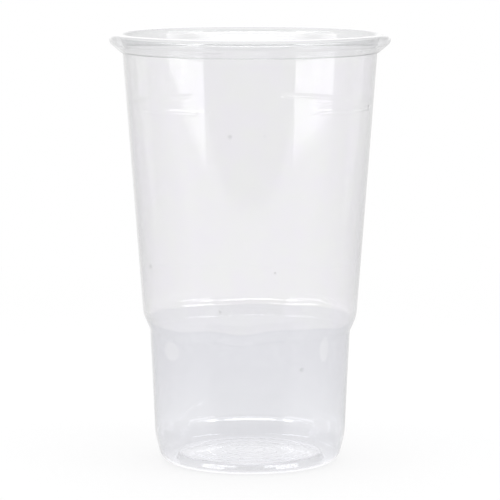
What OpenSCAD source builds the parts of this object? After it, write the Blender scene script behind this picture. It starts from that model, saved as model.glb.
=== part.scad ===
// Clear disposable drinking cup, formed in one piece from thin plastic sheet.
// Its section is one line of sheet that runs from the middle of the base to the tucked end of the
// rolled rim. Heights are measured from the surface that the cup stands on, radii from its axis.

/* [Sheet] */
// Thickness of the sheet
wall = 0.4; // [0.3:0.05:0.6]

/* [Rolled rim] */
// Outer diameter over the roll
rim_d = 95; // [90:0.5:104]
// Height of the cup to the top of the roll
height = 146; // [120:1:170]
// Radius of the roll, outside
roll_radius = 2.2; // [1.8:0.1:2.6]
// How far the roll stands out from the wall below it
rim_overhang = 4.58; // [4.2:0.02:5.4]
// Height of the collar, from the top of the roll down to the wall
collar_h = 7.8; // [7:0.1:11]
// Radius of the slight bend from the upper wall into the collar
collar_round = 12; // [4:1:20]
// Slope of the lip that is tucked in under the roll
lip_slope = 40; // [30:1:50]
// Opening left between the tucked lip and the collar
lip_gap = 0.6; // [0.3:0.1:1.5]

/* [Upper wall] */
// Outer diameter at the foot of the upper wall
upper_foot_d = 72.7; // [70:0.1:78]

/* [Fill line] */
// Distance of the fill line below the top of the rim
fill_drop = 24.2; // [14:0.2:60]
// Number of raised ribs that mark it
fill_marks = 4; // [2:1:6]
// Length of a rib round the cup
fill_arc = 39.5; // [10:0.5:50]
// Turn of the first rib's middle from the X axis
fill_turn = 52.5; // [0:0.5:90]
// Height of a rib
fill_rib_h = 1.6; // [1.2:0.1:2.4]
// How far a rib stands out
fill_rib_out = 0.25; // [0.15:0.05:0.4]

/* [Stacking shoulder] */
// Height of the shoulder's lower bend
shoulder_z = 44.8; // [35:0.2:60]
// Height of the shoulder
shoulder_h = 5.1; // [3.4:0.1:8]
// Radius of its lower bend
shoulder_low_round = 4; // [3:0.5:14]
// Radius of its upper bend
shoulder_top_round = 12; // [3:0.5:14]

/* [Lower wall] */
// Outer diameter at the top of the lower wall
lower_top_d = 68.2; // [66:0.1:70]
// Outer diameter at the foot of the lower wall
heel_d = 64.8; // [63:0.1:66.5]

/* [Heel] */
// Height of the bend from the heel into the lower wall
heel_h = 8.8; // [7:0.1:12]
// Radius of that bend
heel_top_round = 16; // [8:1:40]
// Diameter at which the slope of the heel would meet the ground
heel_foot_d = 60.4; // [59:0.1:61.5]
// Radius of the bend from the standing ring into the heel
heel_low_round = 4.5; // [3:0.1:5]

/* [Base] */
// Diameter of the standing ring's inner corner
foot_inner_d = 50; // [49:0.1:50.6]
// Radius of that corner
foot_round = 0.9; // [0.7:0.05:1.2]
// Diameter of the raised panel
panel_d = 47.8; // [46:0.1:48.4]
// Height of the panel's underside above the ground
panel_rise = 2.5; // [1.8:0.1:4]
// Radius of the panel's edge
panel_round = 0.8; // [0.5:0.05:1]
// Number of fine rings on the panel
ring_count = 4; // [1:1:4]
// Spacing of the rings
ring_pitch = 5; // [3:0.1:5.3]
// Width of a ring
ring_w = 2.4; // [1.6:0.1:2.8]
// Height of a ring
ring_h = 0.12; // [0.1:0.01:0.3]
// Radius of a ring's bends
ring_round = 1.6; // [0.8:0.1:2.4]

/* [Hidden] */
// Sides of a full turn, and the largest turn between two points of a bend
$fn = 180;
bend_step = 6;
// Largest share of a straight stretch that the bends at its two ends may take
bend_share = 0.98;
sheet_color = [0.88, 0.90, 0.92, 0.55];

// Places that follow from the sizes above
rim_r = rim_d / 2;
neck = [rim_r - rim_overhang, height - collar_h];
upper_foot = [upper_foot_d / 2, shoulder_z + shoulder_h];
roll_middle = [rim_r - roll_radius, height - roll_radius];
roll_line_r = roll_radius - wall;
fill_z = height - fill_drop;

// Direction from point a to point b, and a step of length 1 in a direction
function heading(a, b) = atan2(b[1] - a[1], b[0] - a[0]);
function unit(angle) = [cos(angle), sin(angle)];

// Turn from one heading to another, to the left where it is above 0
function turn(from, to) = (to - from + 540) % 360 - 180;

// Bend that leaves point p along heading h, turns through an angle on a radius and gives each
// point as [radius, height, direction of the sheet's inner side]
function bend(p, h, angle, radius) =
    let (n = max(1, ceil(abs(angle) / bend_step)), side = sign(angle) * radius)
    [for (k = [0:n])
        let (a = h + angle * k / n, q = p + side * (unit(h + 90) - unit(a + 90)))
        [q[0], q[1], a + 90]];

// Turn of a list's line at point i, and how far back from the corner its full bend begins
function turn_at(points, i) =
    turn(heading(points[i - 1], points[i]), heading(points[i], points[i + 1]));
function reach(points, i) =
    i == 0 || i == len(points) - 1 ? 0 : points[i][2] * tan(abs(turn_at(points, i)) / 2);

// Share of their full radius that the stretch from point i to the next has room for at its ends
function room(points, i) =
    let (stretch = norm([points[i + 1][0] - points[i][0], points[i + 1][1] - points[i][1]]))
    min(1, bend_share * stretch / (reach(points, i) + reach(points, i + 1)));

// Rounded corner at point i, where the third value of a point is its radius
function corner(points, i) =
    let (
        h = heading(points[i - 1], points[i]),
        fit = min(room(points, i - 1), room(points, i)),
        start = [points[i][0], points[i][1]] - fit * reach(points, i) * unit(h)
    )
    bend(start, h, turn_at(points, i), fit * points[i][2]);

// All the corners between the first and the last point of a list
function rounded(points) = [for (i = [1:len(points) - 2]) each corner(points, i)];

// One side of the sheet, at a depth from the line that it follows
function side(line, depth) = [for (p = line) [p[0], p[1]] + depth * unit(p[2])];
function reversed(list) = [for (i = [len(list) - 1:-1:0]) list[i]];

// Fine rings of the base panel, as low waves in its line
ring_corners = [for (i = [1:ring_count]) each [
    [i * ring_pitch - ring_w / 2, panel_rise, ring_round],
    [i * ring_pitch, panel_rise + ring_h, ring_round],
    [i * ring_pitch + ring_w / 2, panel_rise, ring_round]
]];

// Straight collar from the neck to the inner side of the roll, which it meets without a corner
collar_reach = norm(roll_middle - neck);
collar_heading = heading(neck, roll_middle) + asin(roll_line_r / collar_reach);
collar_end = roll_middle + roll_line_r * unit(collar_heading + 90);

// Corners of the whole body, from the axis to the end of the collar
body_corners = concat(
    [[0, panel_rise]],
    ring_corners,
    [
        [panel_d / 2, panel_rise, panel_round],
        [foot_inner_d / 2, 0, foot_round],
        [heel_foot_d / 2, 0, heel_low_round],
        [heel_d / 2, heel_h, heel_top_round],
        [lower_top_d / 2, shoulder_z, shoulder_low_round],
        [upper_foot[0], upper_foot[1], shoulder_top_round],
        [neck[0], neck[1], collar_round],
        collar_end
    ]
);

// Roll over the top, down the outside and in under itself, then the straight tucked lip
lip_heading = lip_slope - 180;
roll = bend(collar_end, collar_heading, lip_heading - collar_heading, roll_line_r);
roll_end = [roll[len(roll) - 1][0], roll[len(roll) - 1][1]];
lip_way = cross(neck - roll_end, unit(collar_heading)) / cross(unit(lip_heading), unit(collar_heading));
lip_end = roll_end + (lip_way - lip_gap) * unit(lip_heading);

sheet_line = concat(
    [[0, panel_rise, 90]],
    rounded(body_corners),
    roll,
    [[lip_end[0], lip_end[1], lip_heading + 90]]
);

// The upper wall as a straight line, and the fill line's place on it
wall_heading = heading(upper_foot, neck);
fill_point = upper_foot + (fill_z - upper_foot[1]) / sin(wall_heading) * unit(wall_heading);
inward = unit(wall_heading + 90);

// Low arc of a rib, from its lower edge to its upper edge
rib_radius = (pow(fill_rib_h / 2, 2) + pow(fill_rib_out, 2)) / (2 * fill_rib_out);
rib_lean = asin(fill_rib_h / 2 / rib_radius);
rib_start = fill_point - fill_rib_h / 2 * unit(wall_heading);
rib_arc = side(bend(rib_start, wall_heading - rib_lean, 2 * rib_lean, rib_radius), 0);
rib_back = [rib_start + fill_rib_h * unit(wall_heading), rib_start];

// Section between the rib's arc and a straight back behind it, moved into the sheet by shift
module rib_section(shift, back) {
    polygon(concat(
        [for (p = rib_arc) p + shift * inward],
        [for (p = rib_back) p + (shift + back) * inward]
    ));
}

// All the ribs of the fill line, spread evenly round the cup
module fill_ribs(shift, back) {
    for (i = [0:fill_marks - 1])
        rotate([0, 0, fill_turn + i * 360 / fill_marks - fill_arc / 2])
            rotate_extrude(angle = fill_arc) rib_section(shift, back);
}

// The sheet turned about the axis
module formed_sheet() {
    rotate_extrude()
        polygon(concat(side(sheet_line, 0), reversed(side(sheet_line, wall))));
}

// The ribs are pressed out of the sheet, so each has a groove behind it
module cup() {
    color(sheet_color)
        difference() {
            union() {
                formed_sheet();
                fill_ribs(0, wall / 2);
            }
            fill_ribs(wall, wall);
        }
}

cup();
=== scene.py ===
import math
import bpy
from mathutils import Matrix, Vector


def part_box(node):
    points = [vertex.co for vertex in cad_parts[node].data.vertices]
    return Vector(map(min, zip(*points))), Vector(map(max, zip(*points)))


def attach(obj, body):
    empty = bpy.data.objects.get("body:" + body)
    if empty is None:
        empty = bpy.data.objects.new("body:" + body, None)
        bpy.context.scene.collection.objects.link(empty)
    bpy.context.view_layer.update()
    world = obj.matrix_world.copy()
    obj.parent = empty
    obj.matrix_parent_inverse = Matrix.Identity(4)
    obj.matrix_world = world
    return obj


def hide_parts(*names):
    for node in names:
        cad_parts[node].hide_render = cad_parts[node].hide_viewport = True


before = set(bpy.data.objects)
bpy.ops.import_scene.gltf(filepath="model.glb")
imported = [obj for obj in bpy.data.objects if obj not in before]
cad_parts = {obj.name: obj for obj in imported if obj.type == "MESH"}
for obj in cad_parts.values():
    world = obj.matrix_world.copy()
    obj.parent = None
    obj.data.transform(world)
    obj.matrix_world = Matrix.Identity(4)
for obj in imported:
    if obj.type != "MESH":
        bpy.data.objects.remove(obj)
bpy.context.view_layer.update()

# Looks of a clear disposable cup. Metres, +Z up, the cup stands on z = 0 about the Z axis, and
# the photograph's camera looks along +Y. An azimuth is in degrees round the cup from +X.
from types import SimpleNamespace

import bmesh
import bpy
import numpy as np
from mathutils import Matrix, Vector

MM = 0.001

# Whole cup, from the frame, and its sheet
LOW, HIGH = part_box("cup")
HEIGHT = HIGH.z
RIM_R = min(-LOW.x, -LOW.y, HIGH.x, HIGH.y)
WALL = 0.4 * MM

# Rolled rim and collar
ROLL_R = 2.2 * MM
RIM_OVERHANG = 4.58 * MM
COLLAR_H = 7.8 * MM
COLLAR_ROUND = 12 * MM
LIP_SLOPE = 40
LIP_GAP = 0.6 * MM

# Walls and shoulder. The shoulder's low bend is tighter than the solid's, and within 0.05 mm of it.
UPPER_FOOT_R = 36.35 * MM
SHOULDER_Z = 44.8 * MM
SHOULDER_H = 5.1 * MM
SHOULDER_LOW_ROUND = 1.5 * MM
SHOULDER_TOP_ROUND = 12 * MM
LOWER_TOP_R = 34.1 * MM

# Heel and base
HEEL_R = 32.4 * MM
HEEL_H = 8.8 * MM
HEEL_TOP_ROUND = 16 * MM
HEEL_FOOT_R = 30.2 * MM
HEEL_LOW_ROUND = 4.5 * MM
FOOT_INNER_R = 25 * MM
FOOT_ROUND = 0.9 * MM
PANEL_R = 23.9 * MM
PANEL_RISE = 2.5 * MM
PANEL_ROUND = 0.8 * MM
RING_COUNT = 4
RING_PITCH = 5 * MM
RING_W = 2.4 * MM
RING_H = 0.12 * MM
RING_ROUND = 1.6 * MM

# Fill line: ribs in degrees round the cup, their soft ends, height and how far they stand out
FILL_Z = HEIGHT - 24.2 * MM
FILL_MARKS = 4
FILL_ARC = 39.5
FILL_TURN = 52.5
FILL_END = 4.0
FILL_RIB_H = 1.6 * MM
FILL_RIB_OUT = 0.25 * MM

# Uneven height of the shoulder: numbers of waves round the cup, their sizes, the share of them
# that is left at the back, the power by which they grow towards the front, and how far up and
# down they reach
WAVE_COUNTS = np.array([3, 7, 11])
WAVE_COS = np.array([-0.6, 0.0, -0.3]) * MM
WAVE_SIN = np.array([0.29, -0.52, -0.17]) * MM
WAVE_LEAST = 0.25
WAVE_POWER = 2
WAVE_REACH = 5 * MM

# The shoulder's top bend lies a little lower at the back
BACK_DROP = 1.2 * MM
BACK_DROP_Z = 52 * MM
BACK_DROP_POWER = 4
BACK_DROP_REACH = 4 * MM

# Dark specks in the sheet: azimuth, height, half width and half height
SPECKS = (
    (260.9, 114.3 * MM, 0.85 * MM, 0.90 * MM),
    (245.8, 122.0 * MM, 0.65 * MM, 0.60 * MM),
    (208.0, 68.8 * MM, 1.30 * MM, 1.00 * MM),
    (300.9, 35.6 * MM, 0.95 * MM, 0.80 * MM),
    (282.6, 69.2 * MM, 0.50 * MM, 0.50 * MM),
    (254.4, 56.0 * MM, 0.50 * MM, 0.50 * MM),
    (276.8, 114.6 * MM, 0.45 * MM, 0.45 * MM),
)
SPECK_HALF_DEPTH = WALL / 4
SPECK_FINENESS = 2

# Lighter spots painted on the lower wall, the right one a painted reflection of a lamp: azimuth,
# height, half width and half height
BRIGHT_SPOTS = (
    (219.0, 40.6 * MM, 4.0 * MM, 3.3 * MM),
    (317.0, 41.5 * MM, 2.2 * MM, 4.2 * MM),
)

# Fineness of the mesh. Points close to the ends of a straight stretch keep it flat up to its
# bends. They, and those across the fill line, need a stretch several times as long as they are
# apart or the rib is high.
BEND_STEP = 6
BEND_CHORD = 1.2 * MM
CLOSE_STEP = 0.08 * MM
LONGEST_STEP = 7 * MM
STRETCH_NEEDED = 4
RIB_STEP = 0.2 * MM
LIP_STEPS = 6
TURN_STEPS = 216


def heading(a, b):
    """Direction from point a to point b, in degrees."""
    return math.degrees(math.atan2(b[1] - a[1], b[0] - a[0]))


def unit(angle):
    """Step of length 1 in a direction."""
    return np.array([math.cos(math.radians(angle)), math.sin(math.radians(angle))])


def turn(start, end):
    """Turn from one heading to another, to the left where it is above 0."""
    return (end - start + 540) % 360 - 180


def bend(p, h, angle, radius):
    """Arc that leaves p along heading h, as points [radius, height, direction of the inner side]."""
    steps = math.ceil(abs(angle) / BEND_STEP)
    steps = max(1, steps, math.ceil(math.radians(abs(angle)) * radius / BEND_CHORD))
    side = math.copysign(radius, angle)
    points = []
    for k in range(steps + 1):
        a = h + angle * k / steps
        q = np.array(p) + side * (unit(h + 90) - unit(a + 90))
        points.append([q[0], q[1], a + 90])
    return points


def rounded(points):
    """Rounds each inner point of a list by its third value."""
    line = []
    for a, b, c in zip(points, points[1:], points[2:]):
        h = heading(a, b)
        t = turn(h, heading(b, c))
        back = b[2] * math.tan(math.radians(abs(t) / 2))
        line += bend(np.array(b[:2]) - back * unit(h), h, t, b[2])
    return line


def ring_corners():
    """Corners of the base panel's fine rings."""
    corners = []
    for i in range(1, RING_COUNT + 1):
        middle = i * RING_PITCH
        corners.append([middle - RING_W / 2, PANEL_RISE, RING_ROUND])
        corners.append([middle, PANEL_RISE + RING_H, RING_ROUND])
        corners.append([middle + RING_W / 2, PANEL_RISE, RING_ROUND])
    return corners


def body_corners(neck, collar_end):
    """Corners of the section from the axis to the end of the collar."""
    return [[0, PANEL_RISE]] + ring_corners() + [
        [PANEL_R, PANEL_RISE, PANEL_ROUND],
        [FOOT_INNER_R, 0, FOOT_ROUND],
        [HEEL_FOOT_R, 0, HEEL_LOW_ROUND],
        [HEEL_R, HEEL_H, HEEL_TOP_ROUND],
        [LOWER_TOP_R, SHOULDER_Z, SHOULDER_LOW_ROUND],
        [UPPER_FOOT_R, SHOULDER_Z + SHOULDER_H, SHOULDER_TOP_ROUND],
        [neck[0], neck[1], COLLAR_ROUND],
        list(collar_end),
    ]


def lip_tip(roll_end, lip, neck, collar):
    """End of the lip, which leaves the roll along its heading and stops short of the collar."""
    along, across = unit(lip), unit(collar)
    gap = neck - roll_end
    way = (gap[0] * across[1] - gap[1] * across[0]) / (along[0] * across[1] - along[1] * across[0])
    return roll_end + (way - LIP_GAP) * along


def sheet_line():
    """The section's line, from the middle of the base to the end of the tucked lip."""
    neck = np.array([RIM_R - RIM_OVERHANG, HEIGHT - COLLAR_H])
    roll_middle = np.array([RIM_R - ROLL_R, HEIGHT - ROLL_R])
    line_r = ROLL_R - WALL
    reach = np.linalg.norm(roll_middle - neck)
    collar = heading(neck, roll_middle) + math.degrees(math.asin(line_r / reach))
    collar_end = roll_middle + line_r * unit(collar + 90)
    lip = LIP_SLOPE - 180
    roll = bend(collar_end, collar, lip - collar, line_r)
    tip = lip_tip(np.array(roll[-1][:2]), lip, neck, collar)
    body = rounded(body_corners(neck, collar_end))
    return [[0, PANEL_RISE, 90]] + body + roll + [[tip[0], tip[1], lip + 90]]


def finer(line):
    """Adds points to the long straight stretches, and close ones across the fill line."""
    fine = [line[0]]
    for a, b in zip(line, line[1:]):
        length = math.hypot(b[0] - a[0], b[1] - a[1])
        rise = b[1] - a[1]
        steps = max(1, math.ceil(length / LONGEST_STEP))
        stops = set(np.linspace(0, 1, steps + 1)[1:])
        if length > STRETCH_NEEDED * CLOSE_STEP and turn(a[2], b[2]) == 0:
            stops |= {CLOSE_STEP / length, 1 - CLOSE_STEP / length}
        if a[1] < FILL_Z < b[1] and rise > STRETCH_NEEDED * FILL_RIB_H:
            for z in np.arange(FILL_Z - FILL_RIB_H, FILL_Z + FILL_RIB_H, RIB_STEP):
                stops.add((z - a[1]) / rise)
        for t in sorted(stops):
            fine.append([a[k] + (b[k] - a[k]) * t for k in range(3)])
    return fine


def section_points():
    """Both sides of the sheet, from the axis to the lip's round end and back."""
    line = np.array(finer(sheet_line()))
    inward = np.radians(line[:, 2])
    outer = line[:, :2]
    inner = outer + WALL * np.stack([np.cos(inward), np.sin(inward)], axis=1)
    facing = inward[-1] - math.pi - np.arange(1, LIP_STEPS) * math.pi / LIP_STEPS
    round_end = WALL / 2 * np.stack([np.cos(facing), np.sin(facing)], axis=1)
    return np.concatenate([outer, (outer[-1] + inner[-1]) / 2 + round_end, inner[::-1]])


def fill_rib(z, azimuth):
    """How far the fill-line ribs push the sheet out, at heights z and azimuths."""
    low = 1 - ((z - FILL_Z) / (FILL_RIB_H / 2)) ** 2
    profile = FILL_RIB_OUT * np.clip(low, 0, 1)
    pitch = 360 / FILL_MARKS
    off = np.abs((azimuth - FILL_TURN + pitch / 2) % pitch - pitch / 2)
    along = np.clip((FILL_ARC / 2 - off) / FILL_END + 0.5, 0, 1)
    return np.outer(profile, along * along * (3 - 2 * along))


def close_to(z, middle, reach):
    """1 at a height, and less with the distance from it."""
    return np.exp(-(((z - middle) / reach) ** 2))


def shoulder_lift(z, azimuth):
    """How far the uneven shoulder is lifted, at heights z and azimuths."""
    a = np.radians(azimuth)
    counts = np.outer(WAVE_COUNTS, a)
    front = (0.5 - 0.5 * np.sin(a)) ** WAVE_POWER
    back = (0.5 + 0.5 * np.sin(a)) ** BACK_DROP_POWER
    waves = WAVE_COS @ np.cos(counts) + WAVE_SIN @ np.sin(counts)
    waves = waves * (WAVE_LEAST + (1 - WAVE_LEAST) * front)
    lift = np.outer(close_to(z, SHOULDER_Z + SHOULDER_H / 2, WAVE_REACH), waves)
    return lift - np.outer(close_to(z, BACK_DROP_Z, BACK_DROP_REACH), BACK_DROP * back)


def turned_faces(rings):
    """Faces between rings of points about the axis, closed by two more points on the axis."""
    last = (rings - 1) * TURN_STEPS
    first_end = rings * TURN_STEPS
    last_end = first_end + 1
    faces = []
    for j in range(TURN_STEPS):
        k = (j + 1) % TURN_STEPS
        faces.append((first_end, k, j))
        faces.append((last_end, last + j, last + k))
        for i in range(0, last, TURN_STEPS):
            faces.append((i + j, i + k, i + TURN_STEPS + k, i + TURN_STEPS + j))
    return faces


def shade_smooth(mesh):
    mesh.polygons.foreach_set("use_smooth", [True] * len(mesh.polygons))


def cup_mesh():
    """The sheet turned about the axis, with both its sides, pressed ribs and an uneven shoulder."""
    section = section_points()
    rings = section[1:-1]
    azimuth = np.arange(TURN_STEPS) * 360 / TURN_STEPS
    theta = np.radians(azimuth)[None, :]
    radius = rings[:, :1] + fill_rib(rings[:, 1], azimuth)
    z = rings[:, 1:] + shoulder_lift(rings[:, 1], azimuth)
    verts = np.stack([radius * np.cos(theta), radius * np.sin(theta), z], axis=2).reshape(-1, 3)
    ends = [[0, 0, section[0, 1]], [0, 0, section[-1, 1]]]
    mesh = bpy.data.meshes.new("clear_cup")
    mesh.from_pydata(np.concatenate([verts, ends]).tolist(), [], turned_faces(len(rings)))
    shade_smooth(mesh)
    height = np.concatenate([np.repeat(rings[:, 1], TURN_STEPS), section[[0, -1], 1]])
    mesh.attributes.new("section_height", "FLOAT", "POINT").data.foreach_set("value", height)
    mesh.update()
    return mesh


def wall_radius(z):
    """Radius of the wall's outer side at a height."""
    line = np.array(finer(sheet_line()))
    wall = line[(line[:, 0] > HEEL_FOOT_R) & (line[:, 1] < HEIGHT - COLLAR_H)]
    return float(np.interp(z, wall[:, 1], wall[:, 0]))


def outward(azimuth):
    """Level direction away from the axis."""
    return Vector((math.cos(math.radians(azimuth)), math.sin(math.radians(azimuth)), 0))


def on_wall(azimuth, z, depth=0.0):
    """Place on the wall, at a depth from its outer side."""
    return outward(azimuth) * (wall_radius(z) - depth) + Vector((0, 0, z))


def specks_mesh():
    """Small flat grains inside the sheet."""
    grains = bmesh.new()
    for azimuth, z, width, height in SPECKS:
        middle = Matrix.Translation(on_wall(azimuth, z, WALL / 2))
        facing = outward(azimuth).to_track_quat("X", "Z").to_matrix().to_4x4()
        place = middle @ facing @ Matrix.Diagonal((SPECK_HALF_DEPTH, width, height, 1))
        bmesh.ops.create_icosphere(grains, subdivisions=SPECK_FINENESS, radius=1, matrix=place)
    mesh = bpy.data.meshes.new("specks")
    grains.to_mesh(mesh)
    grains.free()
    shade_smooth(mesh)
    return mesh


# Node helpers, whose values are sockets or plain values
def plug(tree, socket, value):
    """Links a value to a socket, or sets it there."""
    if isinstance(value, bpy.types.NodeSocket):
        tree.links.new(value, socket)
    else:
        socket.default_value = value


def node(tree, kind, inputs=(), **settings):
    """New node with its settings, and its inputs by name or number."""
    made = tree.nodes.new(kind)
    for name, value in settings.items():
        setattr(made, name, value)
    for name, value in dict(inputs).items():
        plug(tree, made.inputs[name], value)
    return made


def maths(tree, operation, *values):
    return node(tree, "ShaderNodeMath", dict(enumerate(values)), operation=operation).outputs[0]


def product(tree, first, *others):
    """All the values multiplied."""
    for other in others:
        first = maths(tree, "MULTIPLY", first, other)
    return first


def vector_maths(tree, operation, *values):
    made = node(tree, "ShaderNodeVectorMath", dict(enumerate(values)), operation=operation)
    return made.outputs["Vector"]


def length_of(tree, vector):
    return node(tree, "ShaderNodeVectorMath", {0: vector}, operation="LENGTH").outputs["Value"]


def noise(tree, place, scale, detail):
    values = {"Vector": place, "Scale": scale, "Detail": detail}
    return node(tree, "ShaderNodeTexNoise", values).outputs[0]


def step(tree, value, start, end, low=0.0, high=1.0):
    """Smooth step from low to high as the value goes from start to end."""
    values = {"Value": value, "From Min": start, "From Max": end, "To Min": low, "To Max": high}
    made = node(tree, "ShaderNodeMapRange", values, interpolation_type="SMOOTHSTEP")
    return made.outputs["Result"]


def above(tree, value, edge, soft):
    """0 below an edge and 1 above it, with a soft step in between."""
    return step(tree, maths(tree, "SUBTRACT", value, edge), -soft / 2, soft / 2)


def below(tree, value, edge, soft):
    """1 below an edge and 0 above it, with a soft step in between."""
    return step(tree, maths(tree, "SUBTRACT", value, edge), -soft / 2, soft / 2, 1.0, 0.0)


def band(tree, value, low, high, soft):
    """1 between low and high and 0 outside, with soft edges."""
    return product(tree, above(tree, value, low, soft), below(tree, value, high, soft))


def blend(tree, share, a, b):
    """From a at share 0 to b at share 1."""
    return node(tree, "ShaderNodeMix", {0: share, 2: a, 3: b}, data_type="FLOAT").outputs[0]


def blend_colour(tree, share, a, b):
    return node(tree, "ShaderNodeMix", {0: share, 6: a, 7: b}, data_type="RGBA").outputs[2]


def new_material(name):
    material = bpy.data.materials.new(name)
    material.use_nodes = True
    return material, material.node_tree


def object_place(tree):
    return node(tree, "ShaderNodeTexCoord").outputs["Object"]


def mixed_surface(tree, share, first, second):
    """Gives the material its surface: the first shader at share 0, the second at share 1."""
    mix = node(tree, "ShaderNodeMixShader", {0: share, 1: first.outputs[0], 2: second.outputs[0]})
    tree.links.new(mix.outputs[0], tree.nodes["Material Output"].inputs["Surface"])


# A name that ends in FADE holds two heights, distances, angles or other values. Between them one
# tint, brightness or share passes into the next.

# Clear sheet: tints of its zones, and the heights in the section where each of them begins. The
# lower wall, heel and foot are darker by painted shade, for the shaded floor seen through them, and
# the base panel is lighter by painted light.
UPPER_TINT = (0.941, 0.934, 0.953, 1)
PALE_TINT = (0.942, 0.942, 0.945, 1)
RIM_TINT = (0.938, 0.939, 0.944, 1)
RIM_FADE = (HEIGHT - COLLAR_H - MM, HEIGHT - COLLAR_H + MM)
LOWER_SHADE_TINT = (0.876, 0.877, 0.900, 1)
LOWER_FADE = (SHOULDER_Z + SHOULDER_H - 0.5 * MM, SHOULDER_Z + SHOULDER_H - 1.5 * MM)
HEEL_SHADE_TINT = (0.913, 0.915, 0.933, 1)
HEEL_FADE = (0.75 * SHOULDER_Z, 0.3 * SHOULDER_Z)
FOOT_SHADE_TINT = (0.882, 0.884, 0.906, 1)
FOOT_FADE = (3 * PANEL_RISE, 2 * PANEL_RISE)
BASE_LIGHT_TINT = (0.985, 0.986, 0.990, 1)
BASE_FADE = (2 * PANEL_RISE, PANEL_RISE + MM)
BASE_RADIUS_FADE = (FOOT_INNER_R + 5 * MM, FOOT_INNER_R + MM)

# Its pale patches and fine cloud: scale and detail of their noise, and the noise where they begin
PATCH_NOISE = (90.0, 3.0)
PATCH_FADE = (0.35, 0.65)
CLOUD_NOISE = (300.0, 4.0)
CLOUD_FADE = (0.5, 0.65)
CLOUD_GAIN = 0.07
CLOUD_LIFT = 2 * MM

# Its painted lighter spots, the right one a painted reflection, which end at so many half sizes from
# their middle, its gloss and its shadow
BRIGHT_SPOT_FADE = (1.05, 0.9)
BRIGHT_SPOT_GAIN = 0.4
CLEAREST = (1, 1, 1, 1)
GLOSS_NOISE = (400.0, 2.0)
GLOSS_FADE = (0.3, 0.7)
ROUGHNESS = (0.015, 0.045)
SHEET_IOR = 1.49
SHADOW_TINT = (0.93, 0.93, 0.94, 1)


def bright_spot_share(tree, place):
    """1 within the painted lighter spots and 0 outside them."""
    share = 0.0
    for azimuth, z, width, height in BRIGHT_SPOTS:
        off = vector_maths(tree, "SUBTRACT", place, on_wall(azimuth, z))
        off = vector_maths(tree, "DIVIDE", off, (width, width, height))
        share = maths(tree, "MAXIMUM", share, step(tree, length_of(tree, off), *BRIGHT_SPOT_FADE))
    return share


def base_share(tree, place, z):
    """1 on the base panel and 0 from the heel upwards."""
    from_axis = length_of(tree, vector_maths(tree, "MULTIPLY", place, (1, 1, 0)))
    return product(tree, step(tree, z, *BASE_FADE), step(tree, from_axis, *BASE_RADIUS_FADE))


def sheet_tint_and_shade(tree, place):
    """Tint of the sheet by the height in its section, with painted shade low down and painted light
    on the base panel, a little cloudy, with the painted spots lighter.
    """
    z = node(tree, "ShaderNodeAttribute", attribute_name="section_height").outputs["Fac"]
    cloud = noise(tree, place, *CLOUD_NOISE)
    ragged = maths(tree, "ADD", z, maths(tree, "MULTIPLY", cloud, CLOUD_LIFT))
    patches = step(tree, noise(tree, place, *PATCH_NOISE), *PATCH_FADE)
    tint_and_shade = blend_colour(tree, patches, UPPER_TINT, PALE_TINT)
    tint_and_shade = blend_colour(tree, step(tree, z, *RIM_FADE), tint_and_shade, RIM_TINT)
    # Painted shade on the lower wall, heel and foot, and painted light on the base panel
    tint_and_shade = blend_colour(tree, step(tree, z, *LOWER_FADE), tint_and_shade, LOWER_SHADE_TINT)
    tint_and_shade = blend_colour(tree, step(tree, ragged, *HEEL_FADE), tint_and_shade, HEEL_SHADE_TINT)
    tint_and_shade = blend_colour(tree, step(tree, z, *FOOT_FADE), tint_and_shade, FOOT_SHADE_TINT)
    tint_and_shade = blend_colour(tree, base_share(tree, place, z), tint_and_shade, BASE_LIGHT_TINT)
    # Painted lighter spots, the right one a painted reflection of a lamp
    lighter = maths(tree, "MULTIPLY", bright_spot_share(tree, place), BRIGHT_SPOT_GAIN)
    lighter = maths(tree, "MAXIMUM", lighter, step(tree, cloud, *CLOUD_FADE, 0.0, CLOUD_GAIN))
    return blend_colour(tree, lighter, tint_and_shade, CLEAREST)


def clear_sheet():
    """Clear plastic, which lets the lamps through to what it shades."""
    material, tree = new_material("clear_sheet")
    shader = tree.nodes["Principled BSDF"]
    place = object_place(tree)
    gloss = step(tree, noise(tree, place, *GLOSS_NOISE), *GLOSS_FADE, *ROUGHNESS)
    plug(tree, shader.inputs["Base Color"], sheet_tint_and_shade(tree, place))
    plug(tree, shader.inputs["Roughness"], gloss)
    shader.inputs["IOR"].default_value = SHEET_IOR
    shader.inputs["Transmission Weight"].default_value = 1
    shadow = node(tree, "ShaderNodeLightPath").outputs["Is Shadow Ray"]
    veil = node(tree, "ShaderNodeBsdfTransparent", {"Color": SHADOW_TINT})
    mixed_surface(tree, shadow, shader, veil)
    return material


# Specks: their colours, and the share of the light that passes through each side of their middle
GRAIN_DARK = (0.05, 0.04, 0.035, 1)
GRAIN_PALE = (0.14, 0.12, 0.12, 1)
GRAIN_NOISE = (4000.0, 2.0)
GRAIN_ROUGHNESS = 0.7
GRAIN_CLEAR = 0.945
GRAIN_EDGE_FADE = (0.0, 0.8)


def dark_grain():
    """Dark grain that fades out towards its edge."""
    material, tree = new_material("dark_grain")
    shader = tree.nodes["Principled BSDF"]
    grain = noise(tree, object_place(tree), *GRAIN_NOISE)
    plug(tree, shader.inputs["Base Color"], blend_colour(tree, grain, GRAIN_DARK, GRAIN_PALE))
    shader.inputs["Roughness"].default_value = GRAIN_ROUGHNESS
    facing = node(tree, "ShaderNodeLayerWeight", {"Blend": 0.5}).outputs["Facing"]
    clear_share = step(tree, facing, *GRAIN_EDGE_FADE, GRAIN_CLEAR, 1.0)
    mixed_surface(tree, clear_share, shader, node(tree, "ShaderNodeBsdfTransparent"))
    return material


def add_piece(name, mesh, material):
    piece = bpy.data.objects.new(name, mesh)
    bpy.context.scene.collection.objects.link(piece)
    mesh.materials.append(material)
    return piece


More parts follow.
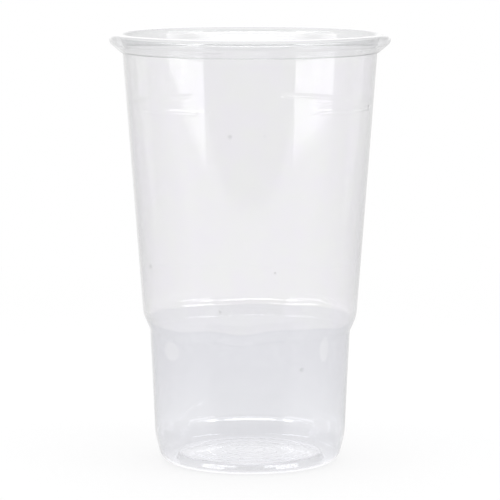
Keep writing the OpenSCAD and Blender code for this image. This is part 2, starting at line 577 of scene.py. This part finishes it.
def build_cup():
    cup = add_piece("clear_cup", cup_mesh(), clear_sheet())
    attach(cup, "root")
    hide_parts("cup")
    specks = add_piece("specks", specks_mesh(), dark_grain())
    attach(specks, "root")


# Studio that the cup mirrors, from here on. A turn is in degrees from the photograph's side of the
# cup, 0, round either way to its back, 180, and a height there is in degrees upwards. A name that
# ends in SIDES holds the value of the left side and that of the right.

# Brightness of the table in front of the cup, beside it and behind it
TABLE_FRONT = 0.76
TABLE_SIDES = (0.66, 0.63)
TABLE_BACK_SIDES = (0.88, 0.80)
TABLE_SIDE_FADE = (60, 110)
TABLE_BACK_FADE = (140, 165)

# Turns at which the middle part of the studio ends and its back begins, and the back's brightness
MIDDLE_FADE = (38, 48)
BACK_FADE = (150, 170)
BACKDROP_FAR = 1.15

# A count of a ray's bounces is 0, or at least 1
BOUNCED = 0.5


def seen_rays(tree):
    """1 for what is seen, straight or by way of the cup, and 0 for light that falls on things."""
    path = node(tree, "ShaderNodeLightPath")
    seen = maths(tree, "MAXIMUM", path.outputs["Is Camera Ray"], path.outputs["Is Glossy Ray"])
    seen = maths(tree, "MAXIMUM", seen, path.outputs["Is Transmission Ray"])
    direct = maths(tree, "LESS_THAN", path.outputs["Diffuse Depth"], BOUNCED)
    return product(tree, seen, direct)


def mirrored_rays(tree):
    """1 for what the cup mirrors, and 0 for what is seen straight through it."""
    depth = node(tree, "ShaderNodeLightPath").outputs["Glossy Depth"]
    return maths(tree, "GREATER_THAN", depth, BOUNCED)


def directions(tree, vector):
    """Turn of a direction, 1 if it points to the right, and its upward part."""
    x, y, z = node(tree, "ShaderNodeSeparateXYZ", {0: vector}).outputs
    turned = maths(tree, "ARCTAN2", maths(tree, "ABSOLUTE", x), maths(tree, "MULTIPLY", y, -1.0))
    return maths(tree, "DEGREES", turned), maths(tree, "GREATER_THAN", x, 0.0), z


def mirrored_table(tree, turned, right):
    """Brightness of the table where the cup mirrors it: dimmer at the sides."""
    level = step(tree, turned, *TABLE_SIDE_FADE, TABLE_FRONT, blend(tree, right, *TABLE_SIDES))
    return step(tree, turned, *TABLE_BACK_FADE, level, blend(tree, right, *TABLE_BACK_SIDES))


# Floor: white to the camera, but for the cup's soft shadow. The distances are from the cup's axis.
FLOOR_SIZE = 12.0
FLOOR_DROP = 0.1 * MM
FLOOR_COLOUR = (0.95, 0.95, 0.95, 1)
SHADOW_SHARE = 0.3
SHADOW_FADE = (0.2, 0.5)

# Brightness of the floor in front of the cup and round its foot, where the cup mirrors it
FLOOR_FRONT = 0.4
FLOOR_FRONT_FADE = (0.16, 0.20)
FLOOR_FOOT = 1.35
FLOOR_FOOT_BESIDE = 0.85
FLOOR_FOOT_SIDE_FADE = (60, 100)
FLOOR_FOOT_FADE = (0.05, 0.085)


def floor_level(tree, place, away):
    """Brightness of the floor to the camera: white, or that of what the cup mirrors."""
    turned, right, _ = directions(tree, place)
    middle = step(tree, turned, *MIDDLE_FADE, 1.0, 0.0)
    front = product(tree, middle, step(tree, away, *FLOOR_FRONT_FADE, 1.0, 0.0))
    level = blend(tree, front, mirrored_table(tree, turned, right), FLOOR_FRONT)
    foot = step(tree, turned, *FLOOR_FOOT_SIDE_FADE, FLOOR_FOOT, FLOOR_FOOT_BESIDE)
    foot = step(tree, turned, *BACK_FADE, foot, BACKDROP_FAR)
    level = step(tree, away, *FLOOR_FOOT_FADE, foot, level)
    return blend(tree, mirrored_rays(tree), 1.0, level)


def white_floor():
    """Plain pale surface that the lamps light, under a share of white that the camera sees."""
    material, tree = new_material("white_floor")
    tree.nodes.remove(tree.nodes["Principled BSDF"])
    place = object_place(tree)
    away = length_of(tree, place)
    white = node(tree, "ShaderNodeEmission", {"Strength": floor_level(tree, place, away)})
    plain = node(tree, "ShaderNodeBsdfDiffuse", {"Color": FLOOR_COLOUR})
    share = step(tree, away, *SHADOW_FADE, 1 - SHADOW_SHARE, 1.0)
    mixed_surface(tree, product(tree, share, seen_rays(tree)), plain, white)
    return material


def build_floor():
    mesh = bpy.data.meshes.new("floor")
    half = FLOOR_SIZE / 2
    corners = [(-half, -half, 0), (half, -half, 0), (half, half, 0), (-half, half, 0)]
    mesh.from_pydata(corners, [], [(0, 1, 2, 3)])
    floor = add_piece("floor", mesh, white_floor())
    floor.location.z = -FLOOR_DROP


# Dark part in front: its foot bows upwards towards its sides
DARK_SIDES = (43, 44)
DARK_LOW = 1.95
DARK_LOW_SOFT = 0.4
DARK_RISE = 1.5
DARK_BOW = 4.0
DARK_LEVEL = 0.1

# Backdrop beside and behind, above the table's edge, and the ceiling
BACKDROP_SIDES = (0.70, 0.55)
TABLE_EDGE = 2.2
TABLE_EDGE_SOFT = 1.0
CEILING = 55
CEILING_SOFT = 16
CEILING_LEVEL = 0.85

# Bright ledge across the front: its foot and top, and the turns at which it ends
LEDGE = (7.5, 9.4)
LEDGE_SOFT = 1.0
LEDGE_FADE = (64, 78)
LEDGE_LEVEL = 3.0

# Lamps beside the dark part: the turns at which they end, their foot, how far it rises, their top
LAMP_SIDES = (88, 84)
LAMP_END_SOFT = 2.0
LAMP_LOW_SIDES = (2.4, 2.25)
LAMP_RISE_SIDES = (-0.6, 0.5)
LAMP_LOW_SOFT = 0.6
LAMP_TOP = 6.2
LAMP_TOP_SOFT = 2.0
LAMP_LEVEL = 2.8

# High lamp, between two turns. It comes lower with the turn, by its drop at the far turn, and it
# is deeper beside the dark part.
HIGH_LAMP_LOW = 34.5
HIGH_LAMP_TOP = 36.5
HIGH_LAMP_SOFT = 1.0
HIGH_LAMP_DEPTH = 4.0
HIGH_LAMP_DROP = 9.0
HIGH_LAMP_FAR = 74
HIGH_LAMP_TURNS = (24, 85)
HIGH_LAMP_END_SOFT = 8.0
HIGH_LAMP_LEVEL = 5.0

# Bright strip across the dark part: its foot and brightness in the middle part and beyond it, its
# top, which arches in the middle, and the turns of a dimmer gap
STRIP_LOW = (11, 9.6)
STRIP_LEVEL = (7.5, 12.0)
STRIP_TOP = 13.5
STRIP_ARCH = 1.8
STRIP_ARCH_FADE = (10, 45)
STRIP_SOFT = 1.0
STRIP_GAP = (33, 43)
STRIP_GAP_SOFT = 6.0
STRIP_GAP_DEPTH = 0.6
STRIP_END_FADE = (44, 64)

# Brightness of the light that falls on things from all round
FALL_LEVEL = 0.55


def studio_place(tree):
    """Turn, side and height of a place in the studio, and how it lies to the dark part."""
    turned, right, up = directions(tree, node(tree, "ShaderNodeTexCoord").outputs["Generated"])
    dark_side = blend(tree, right, *DARK_SIDES)
    at = SimpleNamespace(turned=turned, right=right, dark_side=dark_side)
    at.height = maths(tree, "DEGREES", maths(tree, "ARCSINE", up))
    at.beside = step(tree, turned, dark_side, maths(tree, "ADD", dark_side, LAMP_END_SOFT))
    return at


def table_and_backdrop(tree, at):
    """Brightness of the table up to its edge, and of the dark part and the backdrop above it."""
    far = step(tree, at.turned, *BACK_FADE)
    table = blend(tree, far, mirrored_table(tree, at.turned, at.right), BACKDROP_FAR)
    across = maths(tree, "MINIMUM", maths(tree, "DIVIDE", at.turned, at.dark_side), 1.0)
    bow = maths(tree, "POWER", across, DARK_BOW)
    dark_low = maths(tree, "MULTIPLY_ADD", bow, DARK_RISE, DARK_LOW)
    dark = blend(tree, above(tree, at.height, dark_low, DARK_LOW_SOFT), table, DARK_LEVEL)
    backdrop = blend(tree, far, blend(tree, at.right, *BACKDROP_SIDES), BACKDROP_FAR)
    over_edge = above(tree, at.height, TABLE_EDGE, TABLE_EDGE_SOFT)
    return blend(tree, at.beside, dark, blend(tree, over_edge, table, backdrop))


def ledge(tree, at):
    """1 on the ledge."""
    level = band(tree, at.height, *LEDGE, LEDGE_SOFT)
    return product(tree, level, step(tree, at.turned, *LEDGE_FADE, 1.0, 0.0))


def side_lamps(tree, at):
    """1 on the lamps beside the dark part."""
    end = blend(tree, at.right, *LAMP_SIDES)
    before = step(tree, at.turned, maths(tree, "SUBTRACT", end, LAMP_END_SOFT), end, 1.0, 0.0)
    along = step(tree, at.turned, at.dark_side, end)
    rise = blend(tree, at.right, *LAMP_RISE_SIDES)
    low = maths(tree, "MULTIPLY_ADD", along, rise, blend(tree, at.right, *LAMP_LOW_SIDES))
    over_low = above(tree, at.height, low, LAMP_LOW_SOFT)
    under_top = below(tree, at.height, LAMP_TOP, LAMP_TOP_SOFT)
    return product(tree, over_low, under_top, at.beside, before)


def high_lamp(tree, at):
    """1 on the high lamp."""
    drop = maths(tree, "POWER", maths(tree, "DIVIDE", at.turned, HIGH_LAMP_FAR), 2.0)
    height = maths(tree, "MULTIPLY_ADD", drop, HIGH_LAMP_DROP, at.height)
    low = maths(tree, "MULTIPLY_ADD", at.beside, -HIGH_LAMP_DEPTH, HIGH_LAMP_LOW)
    level = band(tree, height, low, HIGH_LAMP_TOP, HIGH_LAMP_SOFT)
    return product(tree, level, band(tree, at.turned, *HIGH_LAMP_TURNS, HIGH_LAMP_END_SOFT))


def strip(tree, at):
    """1 on the strip, and less in its gap."""
    low = step(tree, at.turned, *MIDDLE_FADE, *STRIP_LOW)
    top = step(tree, at.turned, *STRIP_ARCH_FADE, STRIP_TOP + STRIP_ARCH, STRIP_TOP)
    gap = product(tree, band(tree, at.turned, *STRIP_GAP, STRIP_GAP_SOFT), STRIP_GAP_DEPTH)
    full = maths(tree, "SUBTRACT", 1.0, gap)
    before = step(tree, at.turned, *STRIP_END_FADE, 1.0, 0.0)
    return product(tree, band(tree, at.height, low, top, STRIP_SOFT), full, before)


def studio(tree):
    """Brightness of the studio by direction."""
    at = studio_place(tree)
    level = table_and_backdrop(tree, at)
    level = blend(tree, ledge(tree, at), level, LEDGE_LEVEL)
    level = blend(tree, side_lamps(tree, at), level, LAMP_LEVEL)
    level = blend(tree, high_lamp(tree, at), level, HIGH_LAMP_LEVEL)
    strip_level = step(tree, at.turned, *MIDDLE_FADE, *STRIP_LEVEL)
    level = blend(tree, strip(tree, at), level, strip_level)
    return blend(tree, above(tree, at.height, CEILING, CEILING_SOFT), level, CEILING_LEVEL)


def build_world():
    """White to the camera, the studio where the cup mirrors it, and a plain soft light elsewhere."""
    world = bpy.data.worlds.new("studio")
    bpy.context.scene.world = world
    world.use_nodes = True
    # Its brightness depends on the kind of ray, so it isn't sampled as a lamp
    world.cycles.sampling_method = "NONE"
    tree = world.node_tree
    shown = blend(tree, mirrored_rays(tree), 1.0, studio(tree))
    strength = blend(tree, seen_rays(tree), FALL_LEVEL, shown)
    background = tree.nodes["Background"]
    plug(tree, background.inputs["Strength"], strength)
    background.inputs["Color"].default_value = (1, 1, 1, 1)


# Soft lamps that light the cup at a plain level: places, sizes and levels
TOP_LAMP_PLACE = (0, 0.1, 1.3)
TOP_LAMP_SIZE = 0.9
TOP_LAMP_LEVEL = 3.0
SIDE_LAMP_OUT = 1.0
SIDE_LAMP_Y = -0.5
SIDE_LAMP_Z = 0.7
SIDE_LAMP_SIZE = 0.6
SIDE_LAMP_LEVEL = 2.8


def soft_lamp(name, place, size, level):
    """Square soft lamp that shines on the cup's middle, and isn't itself mirrored in the cup."""
    data = bpy.data.lights.new(name, "AREA")
    data.size = size
    data.energy = level * math.pi * size * size
    lamp = bpy.data.objects.new(name, data)
    bpy.context.scene.collection.objects.link(lamp)
    lamp.location = place
    lamp.rotation_mode = "QUATERNION"
    lamp.rotation_quaternion = (Vector((0, 0, HEIGHT / 2)) - lamp.location).to_track_quat("-Z", "Y")
    lamp.visible_camera = False
    lamp.visible_glossy = False
    lamp.visible_transmission = False


def build_lamps():
    soft_lamp("lamp_top", TOP_LAMP_PLACE, TOP_LAMP_SIZE, TOP_LAMP_LEVEL)
    for side, name in ((-1, "lamp_left"), (1, "lamp_right")):
        place = (side * SIDE_LAMP_OUT, SIDE_LAMP_Y, SIDE_LAMP_Z)
        soft_lamp(name, place, SIDE_LAMP_SIZE, SIDE_LAMP_LEVEL)


# Camera of the photograph: its place, its tilt in degrees, and its focal length in picture pixels
CAMERA_BACK = 1.0
CAMERA_UP = 0.2
CAMERA_DOWN = 7.29
FOCAL_PIXELS = 2961.3
PICTURE_PIXELS = 500
SENSOR_WIDTH = 36


def build_camera():
    data = bpy.data.cameras.new("camera")
    data.sensor_width = SENSOR_WIDTH
    data.lens = FOCAL_PIXELS / PICTURE_PIXELS * SENSOR_WIDTH
    camera = bpy.data.objects.new("camera", data)
    bpy.context.scene.collection.objects.link(camera)
    camera.location = (0, -CAMERA_BACK, CAMERA_UP)
    camera.rotation_euler = (math.radians(90 - CAMERA_DOWN), 0, 0)
    bpy.context.scene.camera = camera


# Light passes through many walls and is mirrored many times in the roll of the rim
BOUNCES = 160


def set_up_scene():
    scene = bpy.context.scene
    scene.view_settings.view_transform = "Standard"
    scene.cycles.max_bounces = BOUNCES
    scene.cycles.transmission_bounces = BOUNCES
    scene.cycles.glossy_bounces = BOUNCES


build_camera()
build_cup()
build_floor()
build_world()
build_lamps()
set_up_scene()
